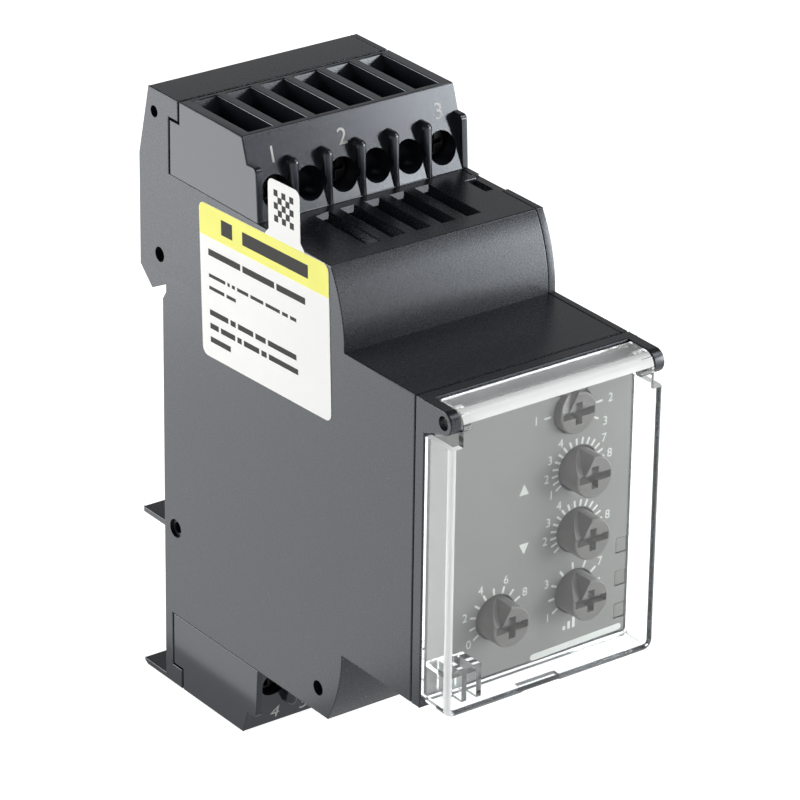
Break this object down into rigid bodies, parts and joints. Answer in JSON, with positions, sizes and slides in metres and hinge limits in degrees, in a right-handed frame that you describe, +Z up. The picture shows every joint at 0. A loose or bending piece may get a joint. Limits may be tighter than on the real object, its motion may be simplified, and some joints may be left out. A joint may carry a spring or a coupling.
{
  "type": "phase monitoring relay",
  "caption": "Rail-mounted three-phase monitoring relay: stepped dark case, finned terminal blocks above and below, setting dials behind a clear hinged front cover",
  "frame": {"origin": "centre of the rail seat: where the middle of the rail's front face lies, midway across the case", "axes": "+X to the right seen from the front, -Y out of the front, +Z up when the rail runs level"},
  "size_m": [0.0351, 0.072, 0.09],
  "materials": {
    "case_plastic": "dark grey moulded thermoplastic with a fine grain",
    "clear_plastic": "clear moulded polycarbonate",
    "dial_plastic": "grey moulded thermoplastic",
    "clip_plastic": "black moulded thermoplastic",
    "plated_steel": "zinc plated",
    "spring_steel": "blank spring strip",
    "contact_brass": "tinned brass strip",
    "board_laminate": "green coated laminate",
    "component_black": "black moulded body",
    "component_blue": "blue moulded body",
    "capacitor_can": "drawn can",
    "label_film": "printed film"
  },
  "bodies": {
    "cover": {"front_cover": "clear_plastic"},
    "range_dial": {"range_knob": "dial_plastic"},
    "clip": {"rail_clip": "clip_plastic"},
    "over_voltage_dial": {"over_voltage_knob": "dial_plastic"},
    "under_voltage_dial": {"under_voltage_knob": "dial_plastic"},
    "asymmetry_dial": {"asymmetry_knob": "dial_plastic"},
    "delay_dial": {"delay_knob": "dial_plastic"},
    "screw_l1": {"terminal_screw_l1": "plated_steel"},
    "cage_l1": {"terminal_cage_l1": "plated_steel"},
    "screw_l2": {"terminal_screw_l2": "plated_steel"},
    "cage_l2": {"terminal_cage_l2": "plated_steel"},
    "screw_l3": {"terminal_screw_l3": "plated_steel"},
    "cage_l3": {"terminal_cage_l3": "plated_steel"},
    "screw_12": {"terminal_screw_12": "plated_steel"},
    "cage_12": {"terminal_cage_12": "plated_steel"},
    "screw_11": {"terminal_screw_11": "plated_steel"},
    "cage_11": {"terminal_cage_11": "plated_steel"},
    "screw_14": {"terminal_screw_14": "plated_steel"},
    "cage_14": {"terminal_cage_14": "plated_steel"},
    "screw_22": {"terminal_screw_22": "plated_steel"},
    "cage_22": {"terminal_cage_22": "plated_steel"},
    "screw_21": {"terminal_screw_21": "plated_steel"},
    "cage_21": {"terminal_cage_21": "plated_steel"},
    "screw_24": {"terminal_screw_24": "plated_steel"},
    "cage_24": {"terminal_cage_24": "plated_steel"},
    "housing": {"housing_shell": "case_plastic", "side_cover": "case_plastic", "front_bezel": "case_plastic", "upper_terminal_block": "case_plastic", "lower_terminal_block": "case_plastic", "front_circuit_board": "board_laminate", "main_circuit_board": "board_laminate", "upper_terminal_board": "board_laminate", "lower_terminal_board": "board_laminate", "upper_contacts": "contact_brass", "lower_contacts": "contact_brass", "indicator_lamps": "clear_plastic", "board_header": "component_black", "storage_capacitor": "capacitor_can", "range_switch": "component_blue", "clip_spring": "spring_steel", "side_label": "label_film", "over_voltage_potentiometer": "component_blue", "under_voltage_potentiometer": "component_blue", "asymmetry_potentiometer": "component_blue", "delay_potentiometer": "component_blue", "indicator_window_1": "clear_plastic", "varistor_1": "component_blue", "indicator_window_2": "clear_plastic", "varistor_2": "component_blue", "indicator_window_3": "clear_plastic", "varistor_3": "component_blue", "output_relay_1": "component_black", "film_capacitor_1": "component_black", "output_relay_2": "component_black", "film_capacitor_2": "component_black"}
  },
  "joints": [
    {"name": "cover_hinge", "type": "hinge", "parent": "housing", "child": "cover", "pos_m": [0, -0.0647, 0.0225], "axis": [-1, 0, 0], "range_deg": [0, 110]},
    {"name": "range_turn", "type": "hinge", "parent": "housing", "child": "range_dial", "pos_m": [0.0063, -0.061, 0.0167], "axis": [0, -1, 0], "range_deg": [-120, 90]},
    {"name": "clip_slide", "type": "slide", "parent": "housing", "child": "clip", "axis": [0, 0, -1], "range_m": [0, 0.0035], "stiffness_N_per_m": 1500, "springref_m": -0.003, "deforming": ["clip_spring"]},
    {"name": "over_voltage_turn", "type": "hinge", "parent": "housing", "child": "over_voltage_dial", "pos_m": [0.0074, -0.061, 0.008], "axis": [0, -1, 0], "range_deg": [-120, 120]},
    {"name": "under_voltage_turn", "type": "hinge", "parent": "housing", "child": "under_voltage_dial", "pos_m": [0.0074, -0.061, -0.00115], "axis": [0, -1, 0], "range_deg": [-120, 120]},
    {"name": "asymmetry_turn", "type": "hinge", "parent": "housing", "child": "asymmetry_dial", "pos_m": [0.0074, -0.061, -0.0103], "axis": [0, -1, 0], "range_deg": [-120, 120]},
    {"name": "delay_turn", "type": "hinge", "parent": "housing", "child": "delay_dial", "pos_m": [-0.0058, -0.061, -0.0103], "axis": [0, -1, 0], "range_deg": [-120, 120]},
    {"name": "screw_turn_l1", "type": "hinge", "parent": "housing", "child": "screw_l1", "pos_m": [-0.01375, -0.018, 0.0388], "axis": [0, 1, 0], "range_deg": [0, 3000]},
    {"name": "cage_rise_l1", "type": "slide", "parent": "housing", "child": "cage_l1", "axis": [0, -1, 0], "range_m": [0, 0.0037]},
    {"name": "screw_turn_l2", "type": "hinge", "parent": "housing", "child": "screw_l2", "pos_m": [-0.00275, -0.018, 0.0388], "axis": [0, 1, 0], "range_deg": [0, 3000]},
    {"name": "cage_rise_l2", "type": "slide", "parent": "housing", "child": "cage_l2", "axis": [0, -1, 0], "range_m": [0, 0.0037]},
    {"name": "screw_turn_l3", "type": "hinge", "parent": "housing", "child": "screw_l3", "pos_m": [0.01375, -0.018, 0.0388], "axis": [0, 1, 0], "range_deg": [0, 3000]},
    {"name": "cage_rise_l3", "type": "slide", "parent": "housing", "child": "cage_l3", "axis": [0, -1, 0], "range_m": [0, 0.0037]},
    {"name": "screw_turn_12", "type": "hinge", "parent": "housing", "child": "screw_12", "pos_m": [-0.01375, -0.018, -0.0354], "axis": [0, 1, 0], "range_deg": [0, 3000]},
    {"name": "cage_rise_12", "type": "slide", "parent": "housing", "child": "cage_12", "axis": [0, -1, 0], "range_m": [0, 0.0037]},
    {"name": "screw_turn_11", "type": "hinge", "parent": "housing", "child": "screw_11", "pos_m": [-0.00825, -0.018, -0.0354], "axis": [0, 1, 0], "range_deg": [0, 3000]},
    {"name": "cage_rise_11", "type": "slide", "parent": "housing", "child": "cage_11", "axis": [0, -1, 0], "range_m": [0, 0.0037]},
    {"name": "screw_turn_14", "type": "hinge", "parent": "housing", "child": "screw_14", "pos_m": [-0.00275, -0.018, -0.0354], "axis": [0, 1, 0], "range_deg": [0, 3000]},
    {"name": "cage_rise_14", "type": "slide", "parent": "housing", "child": "cage_14", "axis": [0, -1, 0], "range_m": [0, 0.0037]},
    {"name": "screw_turn_22", "type": "hinge", "parent": "housing", "child": "screw_22", "pos_m": [0.00275, -0.018, -0.0354], "axis": [0, 1, 0], "range_deg": [0, 3000]},
    {"name": "cage_rise_22", "type": "slide", "parent": "housing", "child": "cage_22", "axis": [0, -1, 0], "range_m": [0, 0.0037]},
    {"name": "screw_turn_21", "type": "hinge", "parent": "housing", "child": "screw_21", "pos_m": [0.00825, -0.018, -0.0354], "axis": [0, 1, 0], "range_deg": [0, 3000]},
    {"name": "cage_rise_21", "type": "slide", "parent": "housing", "child": "cage_21", "axis": [0, -1, 0], "range_m": [0, 0.0037]},
    {"name": "screw_turn_24", "type": "hinge", "parent": "housing", "child": "screw_24", "pos_m": [0.01375, -0.018, -0.0354], "axis": [0, 1, 0], "range_deg": [0, 3000]},
    {"name": "cage_rise_24", "type": "slide", "parent": "housing", "child": "cage_24", "axis": [0, -1, 0], "range_m": [0, 0.0037]}
  ],
  "couplings": [
    {"joint": "screw_turn_l1", "follows": "cage_rise_l1", "rad_per_m": 13963},
    {"joint": "screw_turn_l2", "follows": "cage_rise_l2", "rad_per_m": 13963},
    {"joint": "screw_turn_l3", "follows": "cage_rise_l3", "rad_per_m": 13963},
    {"joint": "screw_turn_12", "follows": "cage_rise_12", "rad_per_m": 13963},
    {"joint": "screw_turn_11", "follows": "cage_rise_11", "rad_per_m": 13963},
    {"joint": "screw_turn_14", "follows": "cage_rise_14", "rad_per_m": 13963},
    {"joint": "screw_turn_22", "follows": "cage_rise_22", "rad_per_m": 13963},
    {"joint": "screw_turn_21", "follows": "cage_rise_21", "rad_per_m": 13963},
    {"joint": "screw_turn_24", "follows": "cage_rise_24", "rad_per_m": 13963}
  ]
}
